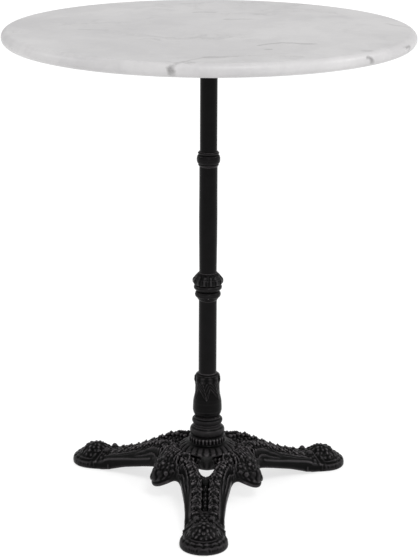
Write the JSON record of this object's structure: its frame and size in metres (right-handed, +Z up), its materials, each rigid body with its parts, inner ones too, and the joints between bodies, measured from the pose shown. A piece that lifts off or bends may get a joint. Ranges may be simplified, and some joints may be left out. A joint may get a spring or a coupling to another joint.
{
  "type": "bistro table",
  "caption": "Round marble-topped bistro table on a slim turned cast-iron column and an ornate three-legged cast-iron base with levelling feet.",
  "frame": {"origin": "on the floor, on the axis of the column, under the middle of the round top", "axes": "+Z up along the column; -Y towards the foot of the first leg; +X to the right of someone facing that leg from outside"},
  "size_m": [0.6, 0.6, 0.72],
  "materials": {
    "marble": "satin",
    "black_iron": "satin",
    "zinc_steel": "satin",
    "brass": "satin",
    "rubber": "matte",
    "nylon": "matte"
  },
  "bodies": {
    "table": {"marble_top": "marble", "marble_insert_1": "brass", "marble_insert_2": "brass", "marble_insert_3": "brass", "marble_insert_4": "brass", "spider_pad_1": "rubber", "spider_pad_2": "rubber", "spider_pad_3": "rubber", "spider_pad_4": "rubber", "top_spider": "black_iron", "spider_washer_1": "zinc_steel", "spider_washer_2": "zinc_steel", "spider_washer_3": "zinc_steel", "spider_washer_4": "zinc_steel", "spider_screw_1": "zinc_steel", "spider_screw_2": "zinc_steel", "spider_screw_3": "zinc_steel", "spider_screw_4": "zinc_steel", "upper_column": "black_iron", "column_collar": "black_iron", "middle_column": "black_iron", "knop": "black_iron", "lower_column": "black_iron", "vase": "black_iron", "neck_ring": "black_iron", "tripod_base": "black_iron", "tie_rod": "zinc_steel", "tie_washer_top": "zinc_steel", "tie_nut_top": "zinc_steel", "tie_washer_bottom": "zinc_steel", "tie_nut_bottom": "zinc_steel"},
    "glide_1": {"glide_pad_1": "nylon"},
    "stud_1": {"glide_stud_1": "zinc_steel"},
    "glide_2": {"glide_pad_2": "nylon"},
    "stud_2": {"glide_stud_2": "zinc_steel"},
    "glide_3": {"glide_pad_3": "nylon"},
    "stud_3": {"glide_stud_3": "zinc_steel"}
  },
  "joints": [
    {"name": "glide_1_extend", "type": "slide", "parent": "table", "child": "glide_1", "axis": [0, 0, -1], "range_m": [0, 0.008]},
    {"name": "stud_1_turn", "type": "hinge", "parent": "glide_1", "child": "stud_1", "pos_m": [0, -0.211, 0.014], "axis": [0, 0, -1], "range_deg": [0, 2304]},
    {"name": "glide_2_extend", "type": "slide", "parent": "table", "child": "glide_2", "axis": [0, 0, -1], "range_m": [0, 0.008]},
    {"name": "stud_2_turn", "type": "hinge", "parent": "glide_2", "child": "stud_2", "pos_m": [0.18273, 0.1055, 0.014], "axis": [0, 0, -1], "range_deg": [0, 2304]},
    {"name": "glide_3_extend", "type": "slide", "parent": "table", "child": "glide_3", "axis": [0, 0, -1], "range_m": [0, 0.008]},
    {"name": "stud_3_turn", "type": "hinge", "parent": "glide_3", "child": "stud_3", "pos_m": [-0.18273, 0.1055, 0.014], "axis": [0, 0, -1], "range_deg": [0, 2304]}
  ],
  "couplings": [
    {"joint": "stud_1_turn", "follows": "glide_1_extend", "rad_per_m": 5026.5},
    {"joint": "stud_2_turn", "follows": "glide_2_extend", "rad_per_m": 5026.5},
    {"joint": "stud_3_turn", "follows": "glide_3_extend", "rad_per_m": 5026.5}
  ]
}
